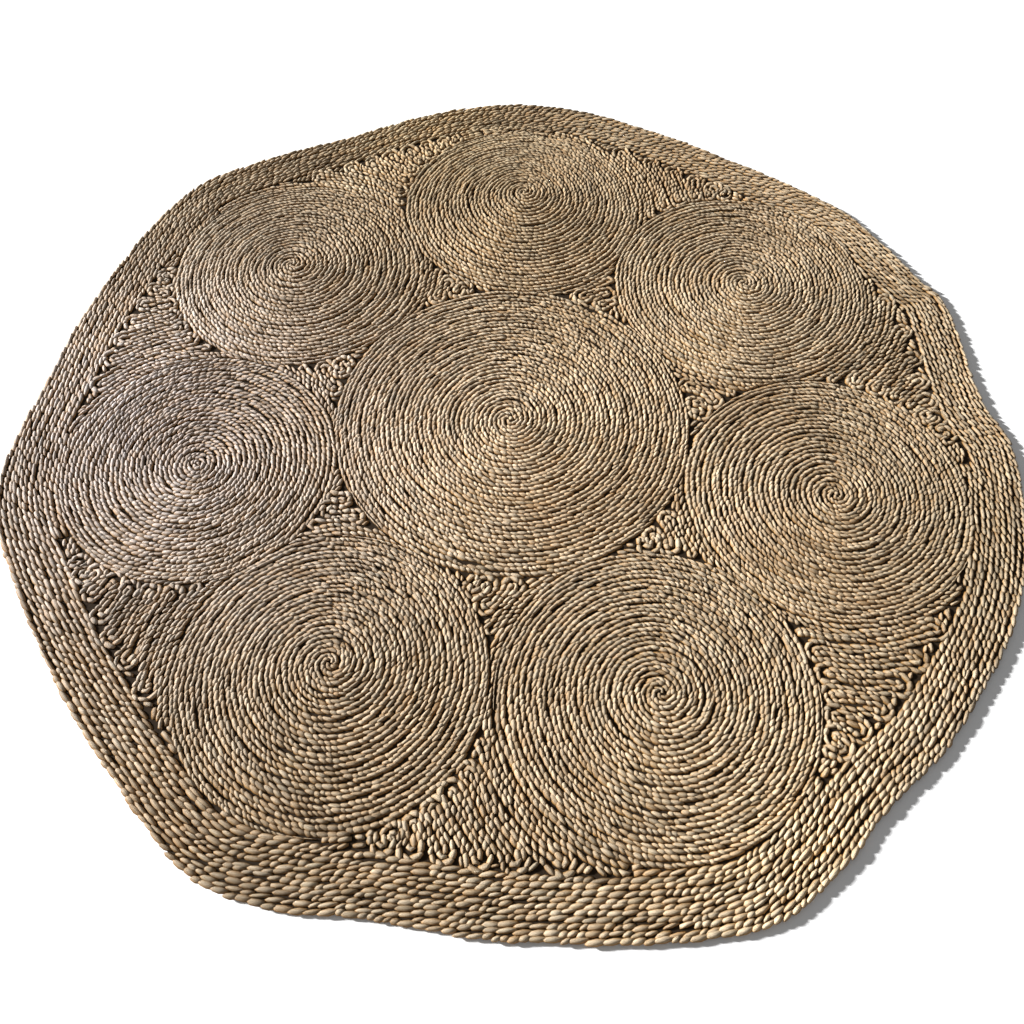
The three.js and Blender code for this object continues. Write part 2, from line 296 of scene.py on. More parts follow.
def medallion_rows(outline, center, radius, eye):
    """Arms that coil out from the eye, round at first, and take on the outline near the rim."""
    rows_out = radius / ROW
    theta = np.arange(0, 360 * (rows_out + ARMS) / ARMS, DEGREE_STEP)
    middle = ARMS * theta / 360 + FIRST_TURN
    inner = rows_out - rim_depth(rows_out - np.maximum(middle - 0.5, 0))
    outer = rows_out - rim_depth(rows_out - (middle + 0.5))
    kept = outer - inner > THINNEST_TIP
    share = ((inner + outer) / 2 / rows_out)[kept, None]
    rows = []
    for arm in range(ARMS):
        bearings = theta[kept] + 360 * arm / ARMS
        rim = reach_at(outline, center, bearings)[:, None]
        reach = radius + (rim - radius) * share**RIM_POWER
        path = center + share * heading(bearings) * reach + (1 - share) * np.array(eye)
        rows.append(as_row(path, (outer - inner)[kept]))
    return rows


def border_rows(rim, hole, discs):
    """Rows that follow the rim, pressed together where a medallion comes near it."""
    inward = left_of(unit(np.roll(rim, -1, axis=0) - np.roll(rim, 1, axis=0)))
    inward = unit(np.stack([smooth_round(part, CORNER_REACH) for part in inward.T], axis=1))
    room = np.full(len(rim), BORDER_ROWS * ROW)
    for center, radius in discs:
        room = np.minimum(room, np.linalg.norm(rim - center, axis=1) - radius)
    pitch = smooth_round(room / BORDER_ROWS, WIDTH_REACH)[:, None]
    rows = []
    for row in range(BORDER_ROWS + CLEFT_ROWS):
        path = rim + inward * pitch * (row + 0.5)
        if row < BORDER_ROWS:
            start = row * len(rim) // BORDER_ROWS
            line = np.roll(np.hstack([path, pitch]), start, axis=0)
            rows.append(as_row(closed(line[:, :2]), closed(line[:, 2:])[:, 0] / ROW))
            continue
        for run in runs_of(~inside(hole, path)):
            if len(run) > SHORTEST_CLEFT:
                rows.append(as_row(path[run], pitch[run, 0] / ROW))
    return rows


# ---------------------------------------------------------------- gussets

class CircleWall:
    def __init__(self, center, radius):
        self.center = center
        self.radius = radius

    def clearance(self, points):
        return np.linalg.norm(points - self.center, axis=-1) - self.radius

    def holds(self, points):
        return self.clearance(points) > 0

    def towards(self, point):
        return unit(self.center - point)


class OutlineWall:
    """A wall along part of a closed outline, with the way into the opening at each point."""

    def __init__(self, outline, inward):
        self.outline = outline
        self.inward = inward

    def holds(self, points):
        gaps = points[:, None] - self.outline
        nearest = np.argmin(np.linalg.norm(gaps, axis=2), axis=1)
        return (gaps[np.arange(len(points)), nearest] * self.inward[nearest]).sum(axis=1) > 0

    def clearance(self, points):
        gaps = self.outline - np.asarray(points)[..., None, :]
        return np.linalg.norm(gaps, axis=-1).min(axis=-1)

    def towards(self, point):
        gaps = self.outline - point
        return unit(gaps[np.argmin(np.linalg.norm(gaps, axis=-1))])


class Gusset:
    """Plait that goes back and forth round its host medallion, from the neighbour to a wall.

    A place on a row is its radius about the host and its angle along, counted from the neighbour.
    """

    def __init__(self, host, neighbor, wall, sense):
        self.center, self.radius = host
        self.neighbor = CircleWall(*neighbor)
        self.wall = wall
        self.sense = sense
        self.start = bearing_of(self.center, neighbor[0])

    def radius_at(self, rows):
        return self.radius + 2 * SEAM + rows * ROW

    def point_at(self, radius, along):
        return self.center + heading(self.start + self.sense * along) * radius

    def clearance(self, points):
        return np.minimum(self.wall.clearance(points), self.neighbor.clearance(points))

    def open_span(self, rows, clear):
        """The angles between which a row stays clear of both walls, or None."""
        radius = self.radius_at(rows)
        along = np.arange(0, WIDEST_SWEEP, math.degrees(STRIDE / radius))
        runs = runs_of(self.clearance(self.point_at(radius, along)) > clear)
        if not runs or runs[0][-1] == len(along) - 1:
            return None
        return along[runs[0][0]], along[runs[0][-1]]

    def rows_that_fit(self):
        rows = LAP_ROWS
        while True:
            middle = rows + HALF_LOOP_ROWS / 2
            span = self.open_span(middle, HALF_LOOP_ROWS / 2 * ROW + SEAM)
            if span is None or math.radians(span[1] - span[0]) * self.radius_at(middle) < SHORTEST_PASS:
                return rows
            rows += HALF_LOOP_ROWS

    def follow(self, first, count, lean, end):
        """The end of a band of rows: where it leaves its arc, and its line on to its wall."""
        radius = self.radius_at(first + count / 2)
        clear = count / 2 * ROW + SEAM
        span = self.open_span(first + count / 2, clear)
        if span is None:
            return None
        step = math.degrees(STRIDE / radius)
        turn_at = clear + BEND_ROWS * ROW if count > 1 else clear
        along = (span[0] + span[1]) / 2
        while self.clearance(self.point_at(radius, along + end * step)) > turn_at:
            along += end * step
        wall = self.wall if end > 0 else self.neighbor
        point = self.point_at(radius, along)
        way = heading(self.start + self.sense * (along + 90 * end))
        stops, ways = [point], [way]
        target = wall.towards(point)
        lean_left = (1 - lean) * abs(math.atan2(cross(way, target), way @ target))
        room = self.clearance(point) - clear
        while room > SEAM:
            stride = min(STRIDE, room)
            target = wall.towards(point)
            away = math.atan2(cross(way, target), way @ target)
            if abs(away) > lean_left:
                way = rotate(way, math.copysign(stride / TURN_RADIUS, away))
            point = point + way * stride
            stops.append(point)
            ways.append(way)
            room = self.clearance(point) - clear
        return {"first": first, "count": count, "along": along,
                "stops": np.array(stops), "ways": np.array(ways)}

    def bands(self, lead, total):
        """Bands of rows that end together: single laps, a leading band, then loops."""
        bands = [(row, 1, LEAD_LEAN) for row in range(LAP_ROWS)]
        first, count, lean = LAP_ROWS, lead, LEAD_LEAN
        while first < total:
            bands.append((first, min(count, total - first), lean))
            first += count
            count, lean = LOOP_ROWS, LEAN
        return bands

    def ends(self):
        """The bands' ends at the wall and at the neighbour."""
        total = self.rows_that_fit()
        while True:
            sides = [[self.follow(*band, end) for band in self.bands(lead, total)]
                     for lead, end in ((LOOP_ROWS, 1), (HALF_LOOP_ROWS, -1))]
            if all(band for side in sides for band in side):
                return sides
            total -= HALF_LOOP_ROWS

    def half_row(self, band, row, middle, cut):
        """A row from its middle to its band's end, a number of stops short of it."""
        radius = self.radius_at(row + 0.5)
        count = max(2, int(abs(math.radians(band["along"] - middle)) * radius / SAMPLE_STEP))
        arc = self.point_at(radius, np.linspace(middle, band["along"], count))
        kept = max(1, len(band["stops"]) - cut)
        stops, ways = band["stops"][:kept], band["ways"][:kept]
        side = math.copysign(1, cross(ways[0], stops[0] - self.center))
        offset = (row + 0.5 - band["first"] - band["count"] / 2) * ROW * side
        left = len(band["stops"]) - np.arange(len(stops))
        flare = 1 + LOOP_FLARE * np.clip(1 - left / FLARE_STOPS, 0, 1)
        line = np.vstack([arc, stops + left_of(ways) * offset * flare[:, None]])
        return line, np.append(np.ones(len(arc)), flare)

    def cleft_end(self, row, along, end):
        """A single row's last points and widths, thinning as the cleft beyond its end closes."""
        inner = self.radius_at(row)
        angles = along + end * math.degrees(STRIDE / inner) * np.arange(1, CLEFT_STRIDES)
        width = np.minimum(self.clearance(self.point_at(inner, angles)) / ROW, 1)
        closing = np.flatnonzero(width < THINNEST_TIP)
        kept = slice(0, closing[0] if len(closing) else np.argmin(width))
        return self.point_at((inner + width[kept] * ROW / 2)[:, None], angles[kept]), width[kept]

    def loop(self, band, row, middle_of, end):
        """Half a row, round the band's end and back along its mate, or to its tip if it has none."""
        rows_outside = row - band["first"]
        mate = band["first"] + band["count"] - 1 - rows_outside
        cut = round(LOOP_GAP * rows_outside * ROW / STRIDE)
        out, width = self.half_row(band, row, middle_of[row], cut)
        if mate == row:
            tip, tip_width = self.cleft_end(row, band["along"], end)
            return as_row(np.vstack([out, tip]), np.append(width, tip_width))
        back, back_width = self.half_row(band, mate, middle_of[mate], cut)
        round_end = cap(out[-1], back[-1], band["ways"][-1])
        cap_width = np.full(CAP_POINTS, width[-1])
        line = np.vstack([out, round_end, back[::-1]])
        return as_row(line, np.concatenate([width, cap_width, back_width[::-1]]))

    def rows(self):
        """Every row of the gusset, each laid as two loops that meet in its middle."""
        sides = self.ends()
        band_of = [{row: band for band in side for row in rows_of(band)} for side in sides]
        middle_of = {row: (band["along"] + band_of[1][row]["along"]) / 2
                     for row, band in band_of[0].items()}
        rows = []
        for side, end in zip(sides, (1, -1)):
            for band in side:
                outer_half = rows_of(band)[:(band["count"] + 1) // 2]
                rows += [self.loop(band, row, middle_of, end) for row in outer_half]
        return rows + self.fillers(rows)

    def open_points(self, row):
        """Points along a row that lies clear of both walls."""
        radius = self.radius_at(row)
        along = np.arange(0, WIDEST_SWEEP, math.degrees(SAMPLE_STEP / radius))
        points = self.point_at(radius, along)
        held = self.wall.holds(points) & self.neighbor.holds(points)
        open_runs = runs_of(held & (self.clearance(points) > FILLER_WALL_ROOM * ROW))
        return points[open_runs[0]] if open_runs else points[:0]

    def fillers(self, rows):
        """Short rows in the openings that are left, round the neighbour first, then the host."""
        tree = tree_of(rows)
        host = (self.center, self.radius)
        neighbor = (self.neighbor.center, self.neighbor.radius)
        fillers = []
        for guide in (Gusset(neighbor, host, self.wall, -self.sense), self):
            for row in np.arange(0.5, guide.rows_that_fit() + LOOP_ROWS, FILLER_STEP):
                points = guide.open_points(row)
                gaps = rows_away(points, tree, fillers)
                width = np.clip(2 * gaps - FILLER_TUCK, THINNEST_FILLER, 1)
                runs = runs_of((gaps > FILLER_ROOM) & (gaps < FILLER_REACH))
                fillers += [as_row(points[run], width[run]) for run in runs
                            if len(run) * SAMPLE_STEP > SHORTEST_FILLER]
        return fillers


def rows_of(band):
    return range(band["first"], band["first"] + band["count"])


def tree_of(rows):
    """A search tree of the points along the rows."""
    points = np.concatenate([path for path, _ in rows])
    tree = KDTree(len(points))
    for i, (x, y) in enumerate(points):
        tree.insert((x, y, 0), i)
    tree.balance()
    return tree


def rows_away(points, tree, fillers):
    """How far each point is from the nearest row in the tree or filler, in rows."""
    gaps = np.array([tree.find((x, y, 0))[2] for x, y in points])
    for path, _ in fillers:
        gaps = np.minimum(gaps, np.linalg.norm(points[:, None] - path, axis=2).min(axis=1))
    return gaps / ROW


def cap(start, end, way):
    """Points round the squarish end of a loop, from start to end, that bulges the given way."""
    middle = (start + end) / 2
    arm = start - middle
    turns = np.linspace(0, math.pi, CAP_POINTS + 2)[1:-1, None]
    across, ahead = np.cos(turns), np.sin(turns)
    squared = (np.abs(across) ** CAP_SQUARENESS + ahead ** CAP_SQUARENESS) ** (-1 / CAP_SQUARENESS)
    return middle + squared * (across * arm + ahead * way * np.linalg.norm(arm))


# ---------------------------------------------------------------- grains

def drifting(rng, count, reach):
    """Random values that change smoothly, with a turn every few of them."""
    knots = rng.normal(0, 1, count // reach + 3)
    return np.interp(np.arange(count) / reach, np.arange(len(knots)), knots)[:, None]


def grain_spans(length, plait, rng):
    """The middle of each grain along a row of this length, and how far the grain reaches from it."""
    count = max(1, round(length / plait["period"]))
    steps = rng.uniform(*STEP_RANGE, count)
    bounds = np.concatenate([[0], np.cumsum(steps)]) * length / steps.sum()
    middle = (bounds[1:] + bounds[:-1])[:, None] / 2
    return middle, np.diff(bounds)[:, None] * plait["length"] / 2


def narrowing(stations, powers):
    """How a measure of a grain falls from 1 in its middle to 0 at its ends."""
    return np.clip(1 - np.abs(stations) ** powers[0], 0, 1) ** powers[1]


def grain_bodies(path, width, plait, lay, rng):
    """The cross-sections of each grain along a row, in millimetres, and the grains' middles."""
    stations = plait["stations"]
    lengths = lengths_along(path)
    middle, reach = grain_spans(lengths[-1], plait, rng)
    count = len(middle)

    def vary(low, high):
        return rng.uniform(low, high, count)[:, None]

    def drift():
        return drifting(rng, count, DRIFT_GRAINS)

    at = np.clip(middle + stations * reach, 0, lengths[-1])
    spine = points_along(path, lengths, at)
    way = unit(points_along(path, lengths, at + 1) - points_along(path, lengths, at - 1))
    row_width = np.interp(at, lengths, width) * ROW
    straightening = np.clip(1 - (row_width / ROW - 1) / LOOP_FLARE, LOOP_SHIFT, 1)
    shift = lay * plait["shift"] * straightening * stations * vary(*SHIFT_RANGE)
    swelling = 1 + SWELL * drift()
    breadth = plait["width"] / 2 * narrowing(stations, BREADTH_POWERS)
    half_width = breadth * vary(*WIDTH_RANGE) * swelling
    sink = SINK * np.abs(drift()) + vary(*SINK_RANGE)
    half_height = np.maximum(THICKNESS / 2 - sink, THICKNESS / 4) * narrowing(stations, HEIGHT_POWERS)
    lift = -SHINGLE * stations[:, None] + BANK * SECTION[:, 0]
    sway = WOBBLE * drift() + vary(-GRAIN_WOBBLE, GRAIN_WOBBLE)

    aside = np.clip(shift[..., None] + half_width[..., None] * SECTION[:, 0], -ROW_EDGE, ROW_EDGE)
    rounding = np.sqrt(1 - ROW_ROUNDING * (np.abs(aside) / ROW_EDGE) ** 2)
    sideways = (aside + sway[..., None]) * row_width[..., None]
    plan = spine[:, :, None] + left_of(way)[:, :, None] * sideways[..., None]
    height = THICKNESS / 2 + lift + half_height[..., None] * rounding * SECTION[:, 1]
    height = np.clip(height, 0, THICKNESS)
    return np.concatenate([plan, height[..., None]], axis=-1), points_along(path, lengths, middle[:, 0])


def grain_template(sections):
    """One grain's faces as vertex numbers, with each face's corners on its cell of the bake map.

    The vertices run ring by ring, and the two tips come last.
    """
    rings = sections - 2
    sides = len(SECTION)
    tips = rings * sides, rings * sides + 1
    last = (rings - 1) * sides
    across = np.arange(1, rings + 1) / (rings + 1)  # each ring's place across the cell
    quads, quad_cells, fans, fan_cells = [], [], [], []
    for side in range(sides):
        after = (side + 1) % sides
        low, high = side / sides, (side + 1) / sides
        middle = (low + high) / 2
        for ring in range(rings - 1):
            first, second = ring * sides, (ring + 1) * sides
            left, right = across[ring], across[ring + 1]
            quads.append((first + side, first + after, second + after, second + side))
            quad_cells.append(((left, low), (left, high), (right, high), (right, low)))
        fans.append((side, tips[0], after))
        fan_cells.append(((across[0], low), (0, middle), (across[0], high)))
        fans.append((last + side, last + after, tips[1]))
        fan_cells.append(((across[-1], low), (across[-1], high), (1, middle)))
    return np.array(quads), np.array(quad_cells), np.array(fans), np.array(fan_cells)


def mesh_of(name, points, quads, fans):
    """A smooth mesh of four-sided and three-sided faces, from points in millimetres."""
    mesh = bpy.data.meshes.new(name)
    mesh.vertices.add(len(points))
    mesh.vertices.foreach_set("co", (points * MM).astype(np.float32).reshape(-1))
    corners = np.concatenate([quads.reshape(-1), fans.reshape(-1)])
    mesh.loops.add(len(corners))
    mesh.loops.foreach_set("vertex_index", corners.astype(np.int32))
    starts = np.concatenate([np.arange(0, quads.size, 4), np.arange(quads.size, len(corners), 3)])
    mesh.polygons.add(len(starts))
    mesh.polygons.foreach_set("loop_start", starts.astype(np.int32))
    mesh.update(calc_edges=True)
    mesh.shade_smooth()
    return mesh


def add_bake_map(mesh, count, parts):
    """Gives each grain a cell of its own on a square map. The parts are its faces' corners there."""
    columns = math.ceil(math.sqrt(count))
    cell = np.stack(np.divmod(np.arange(count), columns)[::-1], axis=1)[:, None, None]
    inset = [CELL_INSET + (1 - 2 * CELL_INSET) * part for part in parts]
    uv = np.concatenate([((part + cell) / columns).reshape(-1, 2) for part in inset])
    layer = mesh.uv_layers.new(name="OFBake")
    layer.data.foreach_set("uv", uv.astype(np.float32).reshape(-1))


def store(mesh, name, kind, values):
    attribute = mesh.attributes.new(name, kind, "POINT")
    key = "color" if kind == "FLOAT_COLOR" else "vector"
    attribute.data.foreach_set(key, values.astype(np.float32).reshape(-1))


def plait_mesh(name, rows, plait, lay, rng):
    """One mesh of every grain in a piece, with each grain's colour and its own coordinates."""
    stations = plait["stations"]
    laid = [grain_bodies(path, width, plait, lay, rng) for path, width in rows]
    bodies = np.concatenate([sections for sections, _ in laid])
    places = np.concatenate([middles for _, middles in laid])
    count = len(bodies)
    points = np.concatenate([bodies[:, 1:-1].reshape(count, -1, 3), bodies[:, [0, -1], 0]], axis=1)
    size = points.shape[1]
    quads, quad_cells, fans, fan_cells = grain_template(len(stations))
    first = (np.arange(count) * size)[:, None, None]
    mesh = mesh_of(name, points.reshape(-1, 3), quads + first, fans + first)
    add_bake_map(mesh, count, (quad_cells, fan_cells))

    along = np.append(np.repeat(stations[1:-1], len(SECTION)), [-1, 1])
    aside = np.append(np.tile(SECTION[:, 0], len(stations) - 2), [0, 0])
    seeds = np.repeat(rng.uniform(0, GRAIN_SEEDS, count), size)
    grain = np.stack([np.tile(along, count), np.tile(aside, count), seeds], axis=1)
    store(mesh, "grain", "FLOAT_VECTOR", grain)
    store(mesh, "tint", "FLOAT_COLOR", np.repeat(tints(places, rng), size, axis=0))
    return mesh


# ---------------------------------------------------------------- colour

# Leaf colours, in linear light. The later ones are factors.
LEAF = np.array([0.54, 0.418, 0.276])
BROWN_LEAF = np.array([0.78, 0.70, 0.60])
GREEN_LEAF = np.array([0.95, 0.98, 0.98])
BROWNING = (0.25, 0.3)  # how brown a grain is, from 0 to 1: the mean and the spread
GREENING = (0.1, 0.4)
SHADED_LEAF = (0.50, 0.325, 0.11, 1)  # painted shade, low down between the grains
CREST_HIGHLIGHT_LEAF = (0.93, 0.97, 1.04, 1)  # painted highlight: a less saturated tone along a grain's top
# Where the rug's colour drifts, partly its own tone and partly painted light and shade: round a place
# on the plan, by this factor.
TONE_AND_LIGHT_DRIFTS = [
    {"bearing": 0, "reach": 0, "spread": 330, "factor": (1.22, 1.22, 1.22)},
    {"bearing": 90, "reach": 750, "spread": 450, "factor": (0.88, 0.86, 0.80)},
    {"bearing": 105, "reach": 1000, "spread": 220, "factor": (1.28, 1.28, 1.20)},
    {"bearing": 170, "reach": 1000, "spread": 240, "factor": (1.38, 1.42, 1.48)},
    {"bearing": 185, "reach": 750, "spread": 460, "factor": (1.08, 1.16, 1.52)},
    {"bearing": 248, "reach": 980, "spread": 220, "factor": (0.80, 0.78, 0.76)},
    {"bearing": 300, "reach": 1000, "spread": 200, "factor": (1.30, 1.30, 1.26)},
    {"bearing": 345, "reach": 980, "spread": 260, "factor": (0.76, 0.76, 0.74)},
    {"bearing": 20, "reach": 960, "spread": 300, "factor": (0.80, 0.80, 0.79)},
]
# Browner and paler patches in each piece.
PATCHES = 70
PATCHED = 1000  # from the rug's middle to the farthest patch, along each axis
PATCH_SPREAD = 90
PATCH_BROWNING = 0.5
# How light a grain is: its own chance, and that of a stretch of grains along a row.
LIGHTNESS_SPREAD = 0.09
STRETCH_SPREAD = 0.28
STRETCH_GRAINS = 5
LIGHTNESS_RANGE = (0.6, 1.2)

# The leaf's texture. A grain's own coordinates go from -1 to 1 along it and across it.
FIBER_STRETCH = (0.8, 6.5, 1.0)
RIB_STRETCH = (0.6, 9.0, 1.0)
STREAK_NOISE = {"scale": 1.6, "detail": 4.0, "roughness": 0.65}
RIB_NOISE = {"scale": 2.2, "detail": 2.0, "roughness": 0.5}
SPECK_NOISE = {"scale": 420.0, "detail": 3.0, "roughness": 0.6}
NOISE_RANGE = (0.3, 0.7)  # where nearly all of a noise lies
STREAK_SHADES = (0.70, 1.17)
SPECK_SHADES = (0.92, 1.06)
STREAK_ROUGHNESS = (0.75, 0.55)
SHADE_HEIGHTS = (0.6 * MM, 4.6 * MM)  # from the rug's middle level: full painted shade, and the crest's full painted highlight tone
SPECK_RELIEF = 0.4  # of the ribs' relief
LEAF_BUMP = {"Strength": 0.8, "Distance": 1.2 * MM}
LEAF_SPECULAR = 0.18

# The bed's texture: the fibrous inside of the plait, dark with painted shade.
BED_NOISE = {"scale": 260.0, "detail": 4.0, "roughness": 0.6}
BED_DARK = (0.010, 0.007, 0.004, 1)
BED_LIGHT = (0.036, 0.022, 0.012, 1)
BED_BUMP = {"Strength": 0.6, "Distance": 1.0 * MM}
BED_ROUGHNESS = 0.9
BED_SPECULAR = 0.1


def nearness(places, middle, spread):
    """From 1 at the middle down to 0 far from it."""
    return np.exp(-((np.linalg.norm(places - middle, axis=1) / spread) ** 2))


def tints(places, rng):
    """Each grain's colour: the leaf's, drifting over the rug partly with painted light and shade, and
    its own.
    """
    count = len(places)
    color = np.tile(LEAF, (count, 1))
    brown = np.clip(rng.normal(*BROWNING, count), 0, 1)[:, None]
    green = np.clip(rng.normal(*GREENING, count), 0, 1)[:, None]
    color *= 1 + brown * (BROWN_LEAF - 1)
    color *= 1 + green * (GREEN_LEAF - 1)
    # The drifts are partly the leaf's own tone and partly painted light and shade.
    for drift in TONE_AND_LIGHT_DRIFTS:
        near = nearness(places, heading(drift["bearing"]) * drift["reach"], drift["spread"])
        color *= 1 + near[:, None] * (np.array(drift["factor"]) - 1)
    browning = np.zeros(count)
    for patch in rng.uniform(-PATCHED, PATCHED, (PATCHES, 2)):
        browning += PATCH_BROWNING * rng.uniform(-1, 1) * nearness(places, patch, PATCH_SPREAD)
    color *= 1 + browning[:, None] * (BROWN_LEAF - 1)
    stretch = smooth_round(rng.normal(0, STRETCH_SPREAD, count), STRETCH_GRAINS)
    lightness = rng.normal(1, LIGHTNESS_SPREAD, count) + stretch
    color *= np.clip(lightness, *LIGHTNESS_RANGE)[:, None]
    return np.column_stack([color, np.ones(count)])


class Nodes:
    """A short way to build a material's node tree."""

    def __init__(self, name):
        self.material = bpy.data.materials.new(name)
        self.material.use_nodes = True
        self.tree = self.material.node_tree
        self.shader = self.tree.nodes["Principled BSDF"]

    def add(self, kind, inputs=(), **settings):
        node = self.tree.nodes.new(kind)
        for key, value in settings.items():
            setattr(node, key, value)
        for key, value in dict(inputs).items():
            if isinstance(value, bpy.types.NodeSocket):
                self.tree.links.new(value, node.inputs[key])
            else:
                node.inputs[key].default_value = value
        return node

    def range(self, value, limits, to_limits=(0.0, 1.0)):
        inputs = {0: value, 1: limits[0], 2: limits[1], 3: to_limits[0], 4: to_limits[1]}
        return self.add("ShaderNodeMapRange", inputs).outputs[0]

    def math(self, operation, first, second=0.0):
        return self.add("ShaderNodeMath", {0: first, 1: second}, operation=operation).outputs[0]

    def product(self, first, second):
        inputs = {0: first, 1: second}
        return self.add("ShaderNodeVectorMath", inputs, operation="MULTIPLY").outputs[0]

    def scaled(self, color, factor):
        inputs = {0: color, "Scale": factor}
        return self.add("ShaderNodeVectorMath", inputs, operation="SCALE").outputs[0]

    def mix(self, share, first, second):
        inputs = {0: share, 6: first, 7: second}  # 6 and 7 are the sockets for colours
        return self.add("ShaderNodeMix", inputs, data_type="RGBA").outputs[2]

    def noise(self, vector, scale, detail, roughness):
        inputs = {"Vector": vector, "Scale": scale, "Detail": detail, "Roughness": roughness}
        return self.add("ShaderNodeTexNoise", inputs).outputs["Fac"]

    def attribute(self, name, output):
        return self.add("ShaderNodeAttribute", attribute_name=name).outputs[output]

    def bump(self, height, settings):
        return self.add("ShaderNodeBump", {**settings, "Height": height}).outputs["Normal"]

    def shade(self, **inputs):
        """Sets or links the shader's inputs, named with _ for a space."""
        for key, value in inputs.items():
            socket = self.shader.inputs[key.replace("_", " ")]
            if isinstance(value, bpy.types.NodeSocket):
                self.tree.links.new(value, socket)
            else:
                socket.default_value = value


def leaf_material():
    """Dried cattail leaf: streaked along its fibres, with painted shade low down between the grains,
    and a painted highlight tone along their tops.
    """
    nodes = Nodes("cattail_leaf")
    tint = nodes.attribute("tint", "Color")
    grain = nodes.attribute("grain", "Vector")
    place = nodes.add("ShaderNodeTexCoord").outputs["Object"]
    streaks = nodes.noise(nodes.product(grain, FIBER_STRETCH), **STREAK_NOISE)
    ribs = nodes.noise(nodes.product(grain, RIB_STRETCH), **RIB_NOISE)
    specks = nodes.noise(place, **SPECK_NOISE)
    height = nodes.add("ShaderNodeSeparateXYZ", {0: place}).outputs["Z"]
    off_middle = nodes.math("ABSOLUTE", nodes.math("SUBTRACT", height, THICKNESS / 2 * MM))
    # Painted shade low down between the grains, and a painted highlight tone along their tops, set by
    # height.
    shade = nodes.mix(nodes.range(off_middle, SHADE_HEIGHTS), SHADED_LEAF, CREST_HIGHLIGHT_LEAF)
    streak_shade = nodes.range(streaks, NOISE_RANGE, STREAK_SHADES)
    speck_shade = nodes.range(specks, NOISE_RANGE, SPECK_SHADES)
    relief = nodes.math("ADD", ribs, nodes.math("MULTIPLY", specks, SPECK_RELIEF))
    texture = nodes.math("MULTIPLY", streak_shade, speck_shade)
    nodes.shade(
        Base_Color=nodes.scaled(nodes.product(tint, shade), texture),
        Roughness=nodes.range(streaks, NOISE_RANGE, STREAK_ROUGHNESS),
        Normal=nodes.bump(relief, LEAF_BUMP),
        Specular_IOR_Level=LEAF_SPECULAR,
    )
    return nodes.material


# A dark sheet of painted shade, for the inside of the plait and the openings between loops.
def shade_bed_material():
    nodes = Nodes("plait_inside_painted_shade")
    place = nodes.add("ShaderNodeTexCoord").outputs["Object"]
    fibers = nodes.noise(place, **BED_NOISE)
    nodes.shade(
        Base_Color=nodes.mix(fibers, BED_DARK, BED_LIGHT),
        Roughness=BED_ROUGHNESS,
        Normal=nodes.bump(fibers, BED_BUMP),
        Specular_IOR_Level=BED_SPECULAR,
    )
    return nodes.material


# ---------------------------------------------------------------- pieces and stage

# The floor, in metres from the rug's middle to its sides.
FLOOR_REACH = 12.0
FLOOR_COLOR = (0.9, 0.9, 0.9, 1)
FLOOR_ROUGHNESS = 0.9
# The light: one low sun and a white sky. Angles are in degrees.
SUN_BEARING = 165
SUN_ELEVATION = 18
SUN_STRENGTH = 12.4
SUN_SPREAD = 5
SKY_COLOR = (1.0, 1.0, 1.0, 1)
SKY_STRENGTH = 0.26
# The camera looks down by its tilt, from a standing person's hand. Its place is in metres.
CAMERA_PLACE = (0.0026, -1.162, 1.539)
CAMERA_TILT = 58.4
CAMERA_ROLL = 1.03
LENS = 33.08
SENSOR_WIDTH = 36.0


def add_object(name, mesh, material=None):
    piece = bpy.data.objects.new(name, mesh)
    bpy.context.scene.collection.objects.link(piece)
    if material:
        mesh.materials.append(material)
    return piece


def bed_mesh(rim):
    """A thin slab inside the rug, from its middle to just inside the rim."""
    inward = left_of(unit(np.roll(rim, -1, axis=0) - np.roll(rim, 1, axis=0)))
    edge = (rim + inward * BED_INSET)[::BED_STEP]
    count = len(edge)
    shares = np.linspace(0, 1, BED_RINGS + 1)[1:]
    plan = np.concatenate([[[0.0, 0.0]]] + [edge * share for share in shares])
    layers = [np.column_stack([plan, np.full(len(plan), z)]) for z in (BED_TOP, BED_BOTTOM)]
    faces = []
    for layer, flip in ((0, 1), (len(plan), -1)):
        for i in range(count):
            after = (i + 1) % count
            faces.append([layer, layer + 1 + i, layer + 1 + after][::flip])
            for ring in range(BED_RINGS - 1):
                low, high = layer + 1 + ring * count, layer + 1 + (ring + 1) * count
                faces.append([low + i, high + i, high + after, low + after][::flip])
    outer = 1 + (BED_RINGS - 1) * count
    for i in range(count):
        after = (i + 1) % count
        faces.append([outer + i, len(plan) + outer + i, len(plan) + outer + after, outer + after])
    mesh = bpy.data.meshes.new("bed")
    mesh.from_pydata((np.concatenate(layers) * MM).tolist(), [], faces)
    return mesh


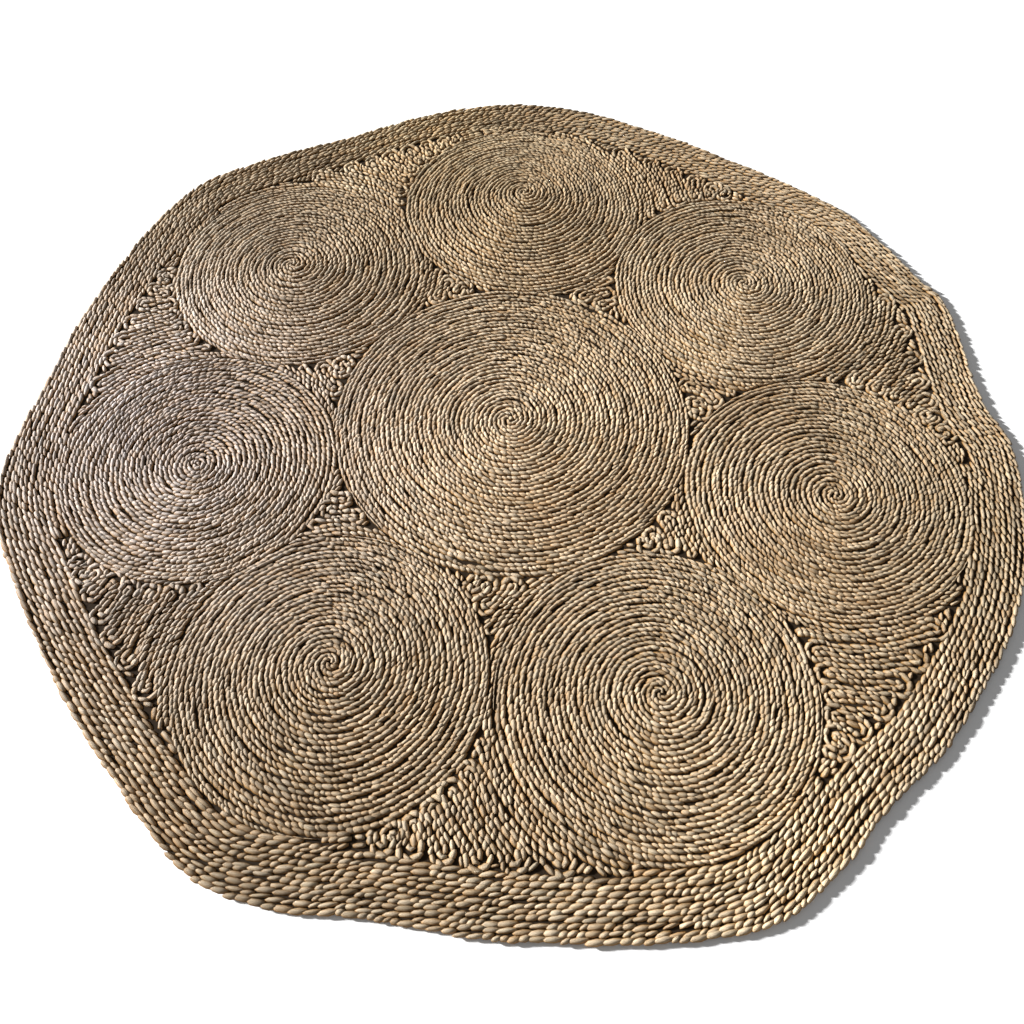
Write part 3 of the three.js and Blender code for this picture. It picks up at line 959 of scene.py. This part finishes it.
def plan_rug(nodes, rim, hole):
    """The rows and lay of every piece, by the CAD node that it replaces."""
    center = (np.zeros(2), CENTER_RADIUS)
    discs = [(heading(ring["bearing"]) * (CENTER_RADIUS + ring["radius"] - PRESS), ring["radius"])
             for ring in RINGS]
    plans = {"border": (border_rows(rim, hole, discs), BORDER_LAY)}
    coils = [("center", center, CENTER_EYE, CENTER_LAY)]
    coils += [(str(i + 1), disc, ring["eye"], ring["lay"])
              for i, (disc, ring) in enumerate(zip(discs, RINGS))]
    for name, disc, eye, lay in coils:
        node = f"medallion_{name}"
        outline = top_outlines(nodes[node])[0]
        plans[node] = (medallion_rows(outline, *disc, eye), lay)
    hole_line = as_row(closed(hole), 1.0)[0][:-1]
    hole_inward = left_of(unit(np.roll(hole_line, 1, axis=0) - np.roll(hole_line, -1, axis=0)))
    for i, host in enumerate(discs):
        neighbor = discs[(i + 1) % len(discs)]
        near = np.linalg.norm(hole_line - host[0], axis=1) < WALL_REACH * host[1]
        outer = Gusset(host, neighbor, OutlineWall(hole_line[near], hole_inward[near]), 1)
        inner = Gusset(host, neighbor, CircleWall(*center), -1)
        plans[f"gusset_outer_{i + 1}"] = (outer.rows(), GUSSET_LAY)
        plans[f"gusset_inner_{i + 1}"] = (inner.rows(), GUSSET_LAY)
    return plans


def build_rug(nodes):
    rng = np.random.default_rng(SEED)
    leaf = leaf_material()
    rim_corners, hole = top_outlines(nodes["border"])
    rim = smooth_closed(rim_corners, SAMPLE_STEP)
    for node, (rows, lay) in plan_rug(nodes, rim, hole).items():
        kind = node.split("_")[0]
        mesh = plait_mesh(f"plait_{node}", rows, PLAITS[kind], lay, rng)
        piece = add_object(f"plait_{node}", mesh, leaf)
        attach(piece, "root")
        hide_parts(node)
    # The bed: a dark sheet of painted shade under the grains.
    bed = add_object("bed", bed_mesh(rim), shade_bed_material())
    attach(bed, "root")
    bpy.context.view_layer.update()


def add_floor():
    mesh = bpy.data.meshes.new("floor")
    corners = [(x * FLOOR_REACH, y * FLOOR_REACH, 0) for x, y in ((-1, -1), (1, -1), (1, 1), (-1, 1))]
    mesh.from_pydata(corners, [], [(0, 1, 2, 3)])
    nodes = Nodes("floor")
    nodes.shade(Base_Color=FLOOR_COLOR, Roughness=FLOOR_ROUGHNESS)
    add_object("floor", mesh, nodes.material)


def add_sun():
    light = bpy.data.lights.new("key", "SUN")
    light.energy = SUN_STRENGTH
    light.angle = math.radians(SUN_SPREAD)
    lamp = bpy.data.objects.new("key", light)
    lamp.rotation_euler = (0, math.radians(90 - SUN_ELEVATION), math.radians(SUN_BEARING))
    bpy.context.scene.collection.objects.link(lamp)


def add_camera():
    data = bpy.data.cameras.new("camera")
    data.lens = LENS
    data.sensor_width = SENSOR_WIDTH
    camera = bpy.data.objects.new("camera", data)
    tilt = Matrix.Rotation(math.radians(90 - CAMERA_TILT), 4, "X")
    roll = Matrix.Rotation(math.radians(CAMERA_ROLL), 4, "Z")
    camera.matrix_world = Matrix.Translation(CAMERA_PLACE) @ tilt @ roll
    bpy.context.scene.collection.objects.link(camera)
    bpy.context.scene.camera = camera


def set_world():
    world = bpy.data.worlds.new("studio")
    world.use_nodes = True
    background = world.node_tree.nodes["Background"]
    background.inputs["Color"].default_value = SKY_COLOR
    background.inputs["Strength"].default_value = SKY_STRENGTH
    bpy.context.scene.world = world
    bpy.context.scene.view_settings.view_transform = "Standard"


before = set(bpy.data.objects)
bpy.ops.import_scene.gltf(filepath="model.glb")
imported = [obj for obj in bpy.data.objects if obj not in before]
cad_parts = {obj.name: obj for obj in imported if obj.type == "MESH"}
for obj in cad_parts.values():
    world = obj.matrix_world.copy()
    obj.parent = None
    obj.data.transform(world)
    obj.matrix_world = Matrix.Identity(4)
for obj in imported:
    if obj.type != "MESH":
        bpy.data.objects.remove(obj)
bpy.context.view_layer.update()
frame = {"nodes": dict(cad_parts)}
build_rug(frame["nodes"])
add_floor()
add_sun()
add_camera()
set_world()
